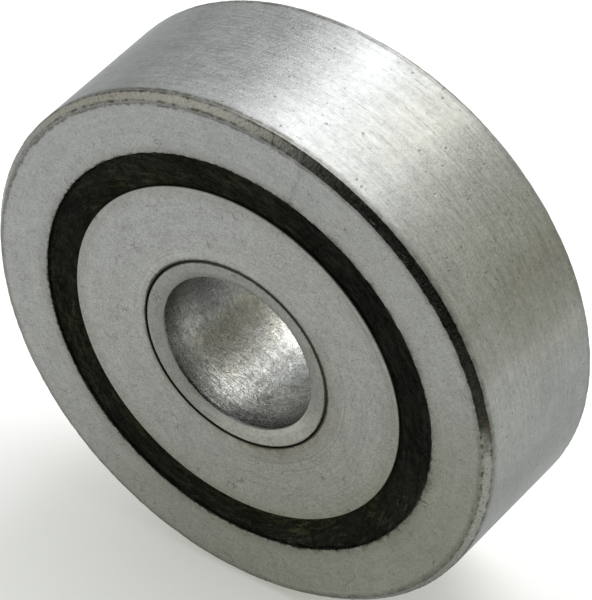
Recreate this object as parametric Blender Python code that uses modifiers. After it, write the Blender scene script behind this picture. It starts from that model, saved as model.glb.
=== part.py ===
# Yoke cam follower: a bored, full-complement ball roller with two felt seals.
#
# Frame: metres, +Z up.  The roller turns about the world Y axis, its centre is
# the origin and its front face looks along -Y.
#
# How it goes together, from the middle out: a plain hub sleeve, two inner race
# halves pressed onto it (split at mid width so that sixteen balls can be loaded
# past the tall shoulders), the balls, the one-piece outer ring whose rim rolls
# on the cam, and one felt seal in each end, seated in the outer ring.

import math

import bmesh
import bpy

MM = 0.001

# ---------------------------------------------------------------- dimensions
RIM_RADIUS = 17.4625 * MM          # 1 3/8 in roller
RING_WIDTH = 11.1125 * MM          # 7/16 in rim width
HUB_PROUD = 0.05 * MM              # hub and races stand this far past the ring, each side
RIM_CHAMFER_R = 0.45 * MM          # chamfer at the rim, measured on the face
RIM_CHAMFER_Y = 0.50 * MM          # the same chamfer, measured along the rim

BORE_RADIUS = 5.159375 * MM        # 13/32 in bore, which clears a 3/8 in bolt
BORE_MOUTH = 5.27 * MM             # where the rounded end breaks into the bore
HUB_RADIUS = 6.35 * MM             # outside of the hub sleeve, 1/2 in across
HUB_LAND_INNER = 5.85 * MM         # flat top of the rolled-over end of the sleeve
HUB_LAND_OUTER = 6.15 * MM
HUB_FALL_INNER = 0.16 * MM         # the end falls this far towards the bore
HUB_FALL_OUTER = 0.08 * MM         # and this far towards the joint with the race
RACE_BORE = 6.47 * MM              # bore of each inner race half
RACE_FACE_RADIUS = 11.41 * MM      # cylindrical land that the felt rubs on
RACE_EDGE = 0.10 * MM
RACE_SHOULDER = 11.75 * MM         # shoulder beside the ball groove
RACE_SPLIT = 0.10 * MM             # gap between the two race halves

SEAL_SEAT_RADIUS = 13.575 * MM     # counterbore in the outer ring
SEAL_SEAT_DEPTH = 1.75 * MM        # depth of the counterbore below the ring face
SEAT_EDGE = 0.10 * MM
RING_SHOULDER = 13.20 * MM         # shoulder of the outer ring beside its groove
SEAL_GAP = 0.06 * MM               # running gap at the race, and play in the seat
SEAL_RECESS = 0.14 * MM            # felt face below the ring face
SEAL_THICKNESS = 1.50 * MM
SEAL_EDGE = 0.12 * MM              # worn corners of the felt

BALL_COUNT = 16
BALL_RADIUS = 2.38125 * MM         # 3/16 in ball
PITCH_RADIUS = 12.48 * MM
BALL_PLAY = 0.05 * MM              # radial play between a ball and each groove
GROOVE_RADIUS = 1.04 * BALL_RADIUS # 52 per cent conformity

SEGMENTS = 60                      # round the axis
GROOVE_STEPS = 8                   # across half of a ball groove
ROUND_STEPS = 4                    # across an edge rounding

HALF_RING = RING_WIDTH / 2
HALF_HUB = HALF_RING + HUB_PROUD


# ------------------------------------------------------------ scene and tools
def clear_scene():
    for obj in list(bpy.data.objects):
        bpy.data.objects.remove(obj, do_unlink=True)
    for mesh in list(bpy.data.meshes):
        bpy.data.meshes.remove(mesh)


def make_collection(name):
    collection = bpy.data.collections.new(name)
    bpy.context.scene.collection.children.link(collection)
    return collection


def make_material(name, color, roughness, metallic):
    material = bpy.data.materials.new(name)
    material.use_nodes = True
    shader = material.node_tree.nodes["Principled BSDF"]
    shader.inputs["Base Color"].default_value = (*color, 1.0)
    shader.inputs["Roughness"].default_value = roughness
    shader.inputs["Metallic"].default_value = metallic
    material.diffuse_color = (*color, 1.0)
    return material


def arc(center_r, center_y, radius, start_deg, end_deg, steps):
    """Points (r, y) of an arc in the profile plane, both ends included.
    0 degrees looks outward along r, 90 degrees along +y."""
    points = []
    for i in range(steps + 1):
        a = math.radians(start_deg + (end_deg - start_deg) * i / steps)
        points.append((center_r + radius * math.cos(a), center_y + radius * math.sin(a)))
    return points


def turned(name, profile, material, parent, collection):
    """A closed profile of (radius, y) turned about the world Y axis.
    The profile is given with the outer side running from +y to -y."""
    mesh = bpy.data.meshes.new(name)
    build = bmesh.new()
    points = [build.verts.new((r, 0.0, y)) for r, y in profile]
    for a, b in zip(points, points[1:] + points[:1]):
        build.edges.new((a, b))
    build.to_mesh(mesh)
    build.free()
    obj = bpy.data.objects.new(name, mesh)
    collection.objects.link(obj)
    mesh.materials.append(material)
    screw = obj.modifiers.new("Turn", "SCREW")
    screw.axis = "Z"
    screw.angle = 2 * math.pi
    screw.screw_offset = 0.0
    screw.steps = SEGMENTS
    screw.render_steps = SEGMENTS
    screw.use_merge_vertices = True
    screw.merge_threshold = 1e-6
    screw.use_smooth_shade = True
    obj.rotation_euler = (-math.pi / 2, 0.0, 0.0)      # profile z becomes world +y
    obj.parent = parent
    return obj


def mirrored(profile):
    """The same profile reflected in the mid plane, still running the same way."""
    return [(r, -y) for r, y in reversed(profile)]


# ------------------------------------------------------------------- profiles
def outer_ring_profile():
    """Rim, chamfered corners, flat faces, seal seats, shoulders and ball groove."""
    groove_center = PITCH_RADIUS + BALL_RADIUS + BALL_PLAY - GROOVE_RADIUS
    reach = math.degrees(math.acos((RING_SHOULDER - groove_center) / GROOVE_RADIUS))
    seat_floor = HALF_RING - SEAL_SEAT_DEPTH
    outside = [
        (RIM_RADIUS - RIM_CHAMFER_R, HALF_RING),
        (RIM_RADIUS, HALF_RING - RIM_CHAMFER_Y),
    ]
    outside += mirrored(outside)
    rear_seat = [
        (RING_SHOULDER, seat_floor),
        (SEAL_SEAT_RADIUS, seat_floor),
        (SEAL_SEAT_RADIUS, HALF_RING - SEAT_EDGE),
        (SEAL_SEAT_RADIUS + SEAT_EDGE, HALF_RING),
    ]
    front_seat = mirrored(rear_seat)
    groove = arc(groove_center, 0.0, GROOVE_RADIUS, -reach, reach, 2 * GROOVE_STEPS)
    return outside + front_seat + groove + rear_seat


def inner_race_profile():
    """The rear half: end face at +y, ball groove towards the split at mid width."""
    groove_center = PITCH_RADIUS - BALL_RADIUS - BALL_PLAY + GROOVE_RADIUS
    rise = math.degrees(math.acos((groove_center - RACE_SHOULDER) / GROOVE_RADIUS))
    start = 180.0 - rise
    end = 180.0 - math.degrees(math.asin(RACE_SPLIT / 2 / GROOVE_RADIUS))
    land_end = HALF_RING - SEAL_RECESS - SEAL_THICKNESS - 2 * SEAL_GAP
    profile = [
        (RACE_BORE + RACE_EDGE, HALF_HUB),
        (RACE_FACE_RADIUS - RACE_EDGE, HALF_HUB),
        (RACE_FACE_RADIUS, HALF_HUB - RACE_EDGE),
        (RACE_FACE_RADIUS, land_end),
        (RACE_SHOULDER, land_end - (RACE_SHOULDER - RACE_FACE_RADIUS)),
    ]
    profile += arc(groove_center, 0.0, GROOVE_RADIUS, start, end, GROOVE_STEPS)
    profile += [
        (RACE_BORE, RACE_SPLIT / 2),
        (RACE_BORE, HALF_HUB - RACE_EDGE),
    ]
    return profile


def fall(width, drop):
    """Radius of an arc that starts level and drops this far over the width, and
    the slope it ends on, in degrees."""
    radius = (width * width + drop * drop) / (2 * drop)
    return radius, math.degrees(math.asin(width / radius))


def hub_sleeve_profile():
    """Sleeve whose ends are rolled over: each end face is slightly domed and
    breaks sharply into the bore."""
    radius, slope = fall(HUB_RADIUS - HUB_LAND_OUTER, HUB_FALL_OUTER)
    rear_outside = arc(HUB_LAND_OUTER, HALF_HUB - radius, radius, 90.0, 90.0 - slope, ROUND_STEPS)
    radius, slope = fall(HUB_LAND_INNER - BORE_MOUTH, HUB_FALL_INNER)
    lean = math.radians(slope)
    edge = (BORE_MOUTH - BORE_RADIUS) / (1 - math.sin(lean))
    edge_y = HALF_HUB - HUB_FALL_INNER - edge * math.cos(lean)
    rear_mouth = arc(BORE_RADIUS + edge, edge_y, edge, 180.0, 90.0 + slope, ROUND_STEPS)
    rear_mouth += arc(HUB_LAND_INNER, HALF_HUB - radius, radius, 90.0 + slope, 90.0, ROUND_STEPS)[1:]
    return rear_outside + mirrored(rear_outside) + mirrored(rear_mouth) + rear_mouth


def felt_seal_profile():
    """The rear seal: a plain flat ring cut from felt, with soft corners."""
    face = HALF_RING - SEAL_RECESS
    back = face - SEAL_THICKNESS
    outer = SEAL_SEAT_RADIUS - SEAL_GAP
    inner = RACE_FACE_RADIUS + SEAL_GAP
    return [
        (outer - SEAL_EDGE, face),
        (outer, face - SEAL_EDGE),
        (outer, back),
        (inner, back),
        (inner, face - SEAL_EDGE),
        (inner + SEAL_EDGE, face),
    ]


# ------------------------------------------------------------------- assembly
def add_balls(material, parent, collection):
    mesh = bpy.data.meshes.new("ball")
    build = bmesh.new()
    bmesh.ops.create_uvsphere(build, u_segments=16, v_segments=10, radius=BALL_RADIUS)
    build.to_mesh(mesh)
    build.free()
    mesh.materials.append(material)
    mesh.shade_smooth()
    for i in range(BALL_COUNT):
        turn = 2 * math.pi * i / BALL_COUNT
        ball = bpy.data.objects.new(f"ball_{i + 1:02d}", mesh)
        collection.objects.link(ball)
        ball.location = (PITCH_RADIUS * math.sin(turn), 0.0, PITCH_RADIUS * math.cos(turn))
        ball.rotation_euler = (0.0, turn, 0.0)
        ball.parent = parent


def add_axis(name, collection):
    """An empty at the centre of the roller, whose Y axis is the joint's axis."""
    empty = bpy.data.objects.new(name, None)
    empty.empty_display_size = 0.01
    collection.objects.link(empty)
    return empty


def main():
    clear_scene()
    collection = make_collection("cam_follower")

    ring_steel = make_material("ring_steel", (0.33, 0.33, 0.30), 0.34, 0.9)
    race_steel = make_material("race_steel", (0.38, 0.38, 0.36), 0.46, 0.85)
    hub_steel = make_material("hub_steel", (0.42, 0.42, 0.40), 0.42, 0.85)
    seal_felt = make_material("seal_felt", (0.012, 0.012, 0.010), 0.85, 0.0)
    ball_steel = make_material("ball_steel", (0.62, 0.62, 0.62), 0.12, 1.0)

    hub = add_axis("hub_axis", collection)
    ring = add_axis("outer_ring_axis", collection)
    ball_row = add_axis("ball_row_axis", collection)
    ring.parent = hub
    ball_row.parent = hub

    turned("outer_ring", outer_ring_profile(), ring_steel, ring, collection)
    turned("felt_seal_rear", felt_seal_profile(), seal_felt, ring, collection)
    turned("felt_seal_front", mirrored(felt_seal_profile()), seal_felt, ring, collection)
    turned("hub_sleeve", hub_sleeve_profile(), hub_steel, hub, collection)
    turned("inner_race_rear", inner_race_profile(), race_steel, hub, collection)
    turned("inner_race_front", mirrored(inner_race_profile()), race_steel, hub, collection)
    add_balls(ball_steel, ball_row, collection)


main()
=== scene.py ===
import math

import bpy
import numpy as np
from mathutils import Matrix, Vector, noise


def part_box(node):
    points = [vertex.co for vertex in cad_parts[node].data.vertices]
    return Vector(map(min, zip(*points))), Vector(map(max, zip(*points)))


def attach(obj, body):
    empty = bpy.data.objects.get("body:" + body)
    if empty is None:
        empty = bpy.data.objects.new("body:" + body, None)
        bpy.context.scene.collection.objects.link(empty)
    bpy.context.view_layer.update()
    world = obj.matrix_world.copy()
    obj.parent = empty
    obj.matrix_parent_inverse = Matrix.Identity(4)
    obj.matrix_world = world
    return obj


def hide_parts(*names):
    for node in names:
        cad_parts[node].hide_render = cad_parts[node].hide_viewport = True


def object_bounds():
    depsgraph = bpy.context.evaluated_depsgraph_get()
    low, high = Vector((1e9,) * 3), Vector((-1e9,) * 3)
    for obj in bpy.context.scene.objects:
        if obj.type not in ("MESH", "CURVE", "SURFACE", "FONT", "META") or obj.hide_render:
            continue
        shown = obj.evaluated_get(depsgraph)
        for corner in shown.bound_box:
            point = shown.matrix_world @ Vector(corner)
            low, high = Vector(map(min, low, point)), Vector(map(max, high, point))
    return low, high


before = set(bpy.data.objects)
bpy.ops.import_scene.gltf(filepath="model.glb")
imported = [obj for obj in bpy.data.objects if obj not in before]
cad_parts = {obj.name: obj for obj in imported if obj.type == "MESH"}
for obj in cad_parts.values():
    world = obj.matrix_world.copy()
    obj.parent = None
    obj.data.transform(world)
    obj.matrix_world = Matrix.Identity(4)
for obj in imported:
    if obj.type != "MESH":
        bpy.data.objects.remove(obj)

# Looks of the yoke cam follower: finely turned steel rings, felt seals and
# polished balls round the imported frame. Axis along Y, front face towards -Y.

cad_low, cad_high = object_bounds()
MM = 0.001

# ------------------------------------------------------------------ dimensions
ring_low, ring_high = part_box("outer_ring")
hub_low, hub_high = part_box("hub_sleeve")
race_low, race_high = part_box("inner_race_rear")
felt_low, felt_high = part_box("felt_seal_rear")
RIM = ring_high[0] / MM                 # 17.4625
HALF_RING = ring_high[1] / MM           # 5.556
HALF_HUB = hub_high[1] / MM             # 5.606
HUB_R = hub_high[0] / MM                # 6.32
SHOULDER_IN = race_high[0] / MM         # 11.75
FELT_R = felt_high[0] / MM              # 13.515
FELT_FACE = felt_high[1] / MM
FELT_BACK = felt_low[1] / MM
SEAT_R = FELT_R + 0.06
SEAT_FLOOR = HALF_RING - 1.75
SHOULDER_OUT = 13.20
BORE_R = 5.159375
MOUTH_R = 5.27                          # where the domed end breaks into the bore
LAND_IN, LAND_OUT = 5.85, 6.15          # the top of the dome
FALL_IN, FALL_OUT = 0.16, 0.08          # its drop towards the bore and towards the joint
RACE_R = 11.41
RACE_BORE = 6.47
PITCH_R = 12.48
BALL_R = 2.38125
PLAY = 0.05
GROOVE_R = 1.04 * BALL_R
SKIN = 0.004                            # the fine surfaces stay this far inside the box


# ------------------------------------------------------------------- mesh tools
def arc(cr, cy, radius, start, end, steps):
    """(r, y) points of an arc, both ends included; 0 degrees looks outward, 90 along +y."""
    out = []
    for i in range(steps + 1):
        a = math.radians(start + (end - start) * i / steps)
        out.append((cr + radius * math.cos(a), cy + radius * math.sin(a)))
    return out


def line(p, q, step, ends=(False, False)):
    """Points strictly between p and q about a step apart, with the ends if asked."""
    n = max(1, int(round(math.hypot(q[0] - p[0], q[1] - p[1]) / step)))
    out = [(p[0] + (q[0] - p[0]) * i / n, p[1] + (q[1] - p[1]) * i / n) for i in range(1, n)]
    return ([p] if ends[0] else []) + out + ([q] if ends[1] else [])


def rounded(points, radii, steps=4):
    """The closed profile with each corner replaced by a small arc of its own radius."""
    out = []
    n = len(points)
    for i, (p, rad) in enumerate(zip(points, radii)):
        if not rad:
            out.append(p)
            continue
        a, b = Vector(points[i - 1]), Vector(points[(i + 1) % n])
        p = Vector(p)
        u, v = (a - p).normalized(), (b - p).normalized()
        half = u.angle(v) / 2
        back = min(rad / math.tan(half), 0.45 * (a - p).length, 0.45 * (b - p).length)
        rad = back * math.tan(half)
        centre = p + (u + v).normalized() * (rad / math.sin(half))
        s, e = p + u * back - centre, p + v * back - centre
        total = math.atan2(s.x * e.y - s.y * e.x, s.dot(e))
        for k in range(steps + 1):
            t = total * k / steps
            out.append((centre.x + s.x * math.cos(t) - s.y * math.sin(t),
                        centre.y + s.x * math.sin(t) + s.y * math.cos(t)))
    return out


def densify(profile, step):
    """Adds points on the long straight stretches of a closed profile."""
    out = []
    for i, p in enumerate(profile):
        q = profile[(i + 1) % len(profile)]
        out.append(p)
        if math.hypot(q[0] - p[0], q[1] - p[1]) > 1.6 * step:
            out += line(p, q, step)
    return out


def mirrored(profile):
    return [(r, -y) for r, y in reversed(profile)]


def turned(name, profile, segments, displace=None, sharp=32):
    """Turns a closed (r, y) profile in mm about Y. displace(r, y, theta, nr, ny) gives (dr, dy) arrays in mm."""
    prof = np.array(profile, float)
    nxt, prv = np.roll(prof, -1, 0), np.roll(prof, 1, 0)
    area = np.sum(prof[:, 0] * nxt[:, 1] - nxt[:, 0] * prof[:, 1])
    if area < 0:
        prof = prof[::-1].copy()
        nxt, prv = np.roll(prof, -1, 0), np.roll(prof, 1, 0)
    d1, d2 = nxt - prof, prof - prv
    d1 /= np.linalg.norm(d1, axis=1)[:, None]
    d2 /= np.linalg.norm(d2, axis=1)[:, None]
    t = d1 + d2
    t /= np.linalg.norm(t, axis=1)[:, None]
    nr, ny = t[:, 1], -t[:, 0]          # outward for a counter-clockwise profile
    theta = np.arange(segments) * 2 * math.pi / segments
    T, R = np.meshgrid(theta, prof[:, 0], indexing="ij")
    _, Y = np.meshgrid(theta, prof[:, 1], indexing="ij")
    NR = np.broadcast_to(nr, T.shape)
    NY = np.broadcast_to(ny, T.shape)
    if displace is not None:
        dr, dy = displace(R, Y, T, NR, NY)
        R, Y = R + dr, Y + dy
    xyz = np.stack([R * np.cos(T), Y, R * np.sin(T)], -1) * MM
    m = len(prof)
    i = np.arange(segments)[:, None]
    j = np.arange(m)[None, :]
    i2, j2 = (i + 1) % segments, (j + 1) % m
    quads = np.stack([i * m + j, i * m + j2, i2 * m + j2, i2 * m + j], -1).reshape(-1, 4)
    mesh = bpy.data.meshes.new(name)
    mesh.from_pydata(xyz.reshape(-1, 3).tolist(), [], quads.tolist())
    mesh.update()
    mesh.shade_smooth()
    if volume_of(mesh) < 0:
        mesh.flip_normals()
    mesh.set_sharp_from_angle(angle=math.radians(sharp))
    obj = bpy.data.objects.new(name, mesh)
    bpy.context.scene.collection.objects.link(obj)
    return obj


def volume_of(mesh):
    mesh.calc_loop_triangles()
    co = np.empty(len(mesh.vertices) * 3)
    mesh.vertices.foreach_get("co", co)
    co = co.reshape(-1, 3)
    tri = np.empty(len(mesh.loop_triangles) * 3, np.int64)
    mesh.loop_triangles.foreach_get("vertices", tri)
    a, b, c = (co[tri.reshape(-1, 3)[:, k]] for k in range(3))
    return float(np.einsum("ij,ij->i", a, np.cross(b, c)).sum() / 6)


def field(R, Y, T, scale, seed, octaves=2, y_scale=None):
    """Smooth noise in -1..1 over the turned surface, features about 1/scale mm across."""
    y_scale = scale if y_scale is None else y_scale
    X, Z = R * np.cos(T) * scale, R * np.sin(T) * scale
    Yn = Y * y_scale
    out = np.zeros(R.shape)
    flat = out.reshape(-1)
    fx, fy, fz = X.reshape(-1), Yn.reshape(-1), Z.reshape(-1)
    fractal = noise.fractal
    for k in range(flat.size):
        flat[k] = fractal((fx[k] + seed, fy[k] - seed, fz[k] + 2 * seed), 0.6, 2.0, octaves)
    return out


def ring_wave(T, seed, lowest=3, highest=60, fall=0.8):
    """A periodic random wave round the axis, about -1..1."""
    rng = np.random.default_rng(seed)
    out = np.zeros(T.shape)
    total = 0.0
    for k in range(lowest, highest):
        a = (lowest / k) ** fall
        out += a * np.sin(k * T + rng.uniform(0, 2 * math.pi))
        total += a * a
    return out / math.sqrt(total)


# --------------------------------------------------------------- material tools
class Nodes:
    """A short way to write a material's node tree."""

    def __init__(self, name):
        self.material = bpy.data.materials.new(name)
        self.material.use_nodes = True
        self.tree = self.material.node_tree
        self.shader = self.tree.nodes["Principled BSDF"]
        coord = self.new("ShaderNodeTexCoord")
        scaled = self.vector("SCALE", coord.outputs["Object"], scale=1000.0)
        self.mm = scaled
        parts = self.new("ShaderNodeSeparateXYZ")
        self.link(scaled, parts.inputs[0])
        self.x, self.y, self.z = parts.outputs
        self.r = self.math("SQRT", self.math("ADD", self.math("MULTIPLY", self.x, self.x), self.math("MULTIPLY", self.z, self.z)))
        self.ux = self.math("DIVIDE", self.x, self.r)
        self.uz = self.math("DIVIDE", self.z, self.r)

    def new(self, kind, **settings):
        node = self.tree.nodes.new(kind)
        for key, value in settings.items():
            setattr(node, key, value)
        return node

    def link(self, source, target):
        if isinstance(source, (int, float)):
            target.default_value = source
        elif isinstance(source, tuple):
            target.default_value = source if len(source) == len(target.default_value) else (*source, 1.0)
        else:
            self.tree.links.new(source, target)

    def math(self, operation, a, b=0.0, c=0.0, clamp=False):
        node = self.new("ShaderNodeMath", operation=operation, use_clamp=clamp)
        self.link(a, node.inputs[0])
        self.link(b, node.inputs[1])
        self.link(c, node.inputs[2])
        return node.outputs[0]

    def vector(self, operation, a, b=None, scale=None):
        node = self.new("ShaderNodeVectorMath", operation=operation)
        self.link(a, node.inputs[0])
        if b is not None:
            self.link(b, node.inputs[1])
        if scale is not None:
            self.link(scale, node.inputs["Scale"])
        return node.outputs[0]

    def combine(self, x, y, z):
        node = self.new("ShaderNodeCombineXYZ")
        for value, target in zip((x, y, z), node.inputs):
            self.link(value, target)
        return node.outputs[0]

    def round_axis(self, along, across_y, across_r):
        """Coordinates that stretch a texture round the axis: features 1/along turns of one mm at R = 1."""
        return self.combine(
            self.math("ADD", self.math("MULTIPLY", self.ux, along), self.math("MULTIPLY", self.r, across_r)),
            self.math("MULTIPLY", self.y, across_y),
            self.math("ADD", self.math("MULTIPLY", self.uz, along), self.math("MULTIPLY", self.r, across_r)),
        )

    def noise(self, vector, scale, detail=3.0, rough=0.55, distortion=0.0):
        node = self.new("ShaderNodeTexNoise")
        self.link(vector, node.inputs["Vector"])
        node.inputs["Scale"].default_value = scale
        node.inputs["Detail"].default_value = detail
        node.inputs["Roughness"].default_value = rough
        node.inputs["Distortion"].default_value = distortion
        return node.outputs["Fac"]

    def voronoi(self, vector, scale, feature="F1", randomness=1.0):
        node = self.new("ShaderNodeTexVoronoi", feature=feature)
        self.link(vector, node.inputs["Vector"])
        node.inputs["Scale"].default_value = scale
        node.inputs["Randomness"].default_value = randomness
        return node.outputs["Distance"]

    def span(self, value, low, high, to_low=0.0, to_high=1.0, smooth=True):
        """value mapped from low..high to to_low..to_high, clamped."""
        node = self.new("ShaderNodeMapRange", interpolation_type="SMOOTHSTEP" if smooth else "LINEAR", clamp=True)
        self.link(value, node.inputs["Value"])
        for key, number in (("From Min", low), ("From Max", high), ("To Min", to_low), ("To Max", to_high)):
            node.inputs[key].default_value = number
        return node.outputs["Result"]

    def mix(self, fac, a, b, blend="MIX"):
        node = self.new("ShaderNodeMix", data_type="RGBA", blend_type=blend, clamp_factor=True)
        self.link(fac, node.inputs[0])
        self.link(a, node.inputs[6])
        self.link(b, node.inputs[7])
        return node.outputs[2]

    def blend(self, fac, a, b):
        node = self.new("ShaderNodeMix", data_type="FLOAT", clamp_factor=True)
        self.link(fac, node.inputs[0])
        self.link(a, node.inputs[2])
        self.link(b, node.inputs[3])
        return node.outputs[0]

    def bump(self, height, distance_mm, strength=1.0, normal=None):
        node = self.new("ShaderNodeBump")
        node.inputs["Strength"].default_value = strength
        node.inputs["Distance"].default_value = distance_mm * MM
        self.link(height, node.inputs["Height"])
        if normal is not None:
            self.link(normal, node.inputs["Normal"])
        return node.outputs["Normal"]

    def finish(self, color, roughness, metallic, normal=None, **constants):
        self.link(color, self.shader.inputs["Base Color"])
        self.link(roughness, self.shader.inputs["Roughness"])
        self.link(metallic, self.shader.inputs["Metallic"])
        if normal is not None:
            self.link(normal, self.shader.inputs["Normal"])
        for key, value in constants.items():
            self.shader.inputs[key.replace("_", " ").title().replace("Ior", "IOR")].default_value = value
        return self.material


def sector(n, middle, inner, outer):
    """1 within inner degrees of the angle middle round the axis, 0 beyond outer."""
    a = math.radians(middle)
    along = n.math("ADD", n.math("MULTIPLY", n.ux, math.cos(a)), n.math("MULTIPLY", n.uz, math.sin(a)))
    return n.span(along, math.cos(math.radians(outer)), math.cos(math.radians(inner)))


def hairlines(n, scale, seed, width):
    """Thin curved scratches, 1 on the line."""
    moved = n.vector("ADD", n.mm, (seed, seed * 0.7, -seed))
    bend = n.noise(moved, scale, 1.0, 0.4)
    line = n.span(n.math("ABSOLUTE", n.math("SUBTRACT", bend, 0.5)), width, width * 0.35)
    return n.math("MULTIPLY", line, n.span(n.noise(moved, 1.1, 2.0, 0.5), 0.56, 0.64))


def face_finish(n, base, tint=(1.0, 1.009, 0.968)):
    """Colour, roughness and height of a finely ground, handled end face, with painted shade towards its bottom."""
    fine = n.noise(n.mm, 16.0, 2.0, 0.6)
    grain = n.noise(n.mm, 7.0, 4.0, 0.7)
    mottle = n.noise(n.mm, 2.6, 4.0, 0.7)
    cloud = n.noise(n.mm, 0.7, 4.0, 0.6)
    turning = n.noise(n.combine(n.math("MULTIPLY", n.ux, 2.5), n.math("MULTIPLY", n.uz, 2.5), n.math("MULTIPLY", n.r, 5.5)), 1.0, 4.0, 0.65)
    value = n.math("ADD", n.span(fine, 0.25, 0.75, -0.80, 0.80, False), n.span(grain, 0.3, 0.7, -0.85, 0.85, False))
    value = n.math("ADD", value, n.span(mottle, 0.3, 0.7, -0.30, 0.30, False))
    value = n.math("ADD", value, n.span(turning, 0.3, 0.7, -0.20, 0.20, False))
    value = n.math("ADD", value, n.span(cloud, 0.3, 0.7, -0.22, 0.22, False))
    low, high = base * 0.70, base * 1.30
    color = n.mix(n.math("ADD", 0.5, n.math("MULTIPLY", value, 0.46)),
                  tuple(low * t for t in tint), tuple(high * t for t in tint))
    # painted shade: darker and more olive towards the bottom, where the face mirrors the shadowed floor. Also darker at
    # the lower right. Painted reflection: a little bluer towards the upper left.
    painted_low_shade = n.span(n.math("SUBTRACT", n.math("MULTIPLY", n.x, 0.5), n.math("MULTIPLY", n.z, 0.87)), 0.0, 14.5)
    color = n.mix(painted_low_shade, color, n.mix(1.0, color, (0.935, 0.930, 0.850), "MULTIPLY"))
    right = n.math("MULTIPLY", sector(n, 344, 16, 34), n.span(n.r, 9.0, 14.5))
    color = n.mix(right, color, n.mix(1.0, color, (0.89, 0.89, 0.87), "MULTIPLY"))
    color = n.mix(n.span(n.math("SUBTRACT", n.z, n.math("MULTIPLY", n.x, 0.8)), 4.0, 18.0), color, n.mix(1.0, color, (0.995, 1.0, 1.035), "MULTIPLY"))
    speck = n.span(n.noise(n.mm, 4.2, 2.0, 0.5), 0.675, 0.73)
    dot = n.span(n.voronoi(n.mm, 1.25), 0.085, 0.05)
    marks = n.math("MAXIMUM", hairlines(n, 0.42, 13.0, 0.0055), hairlines(n, 0.8, 31.0, 0.009))
    color = n.mix(n.math("MULTIPLY", n.math("MAXIMUM", speck, dot), 0.42), color, (0.09, 0.085, 0.07))
    color = n.mix(n.math("MULTIPLY", marks, 0.52), color, (0.09, 0.087, 0.075))
    rough = n.math("ADD", 0.50, n.span(grain, 0.3, 0.7, -0.07, 0.07))
    height = n.math("ADD", n.math("MULTIPLY", grain, 1.0), n.math("MULTIPLY", turning, 0.4))
    height = n.math("ADD", height, n.math("MULTIPLY", fine, 0.7))
    return color, rough, height


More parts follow.
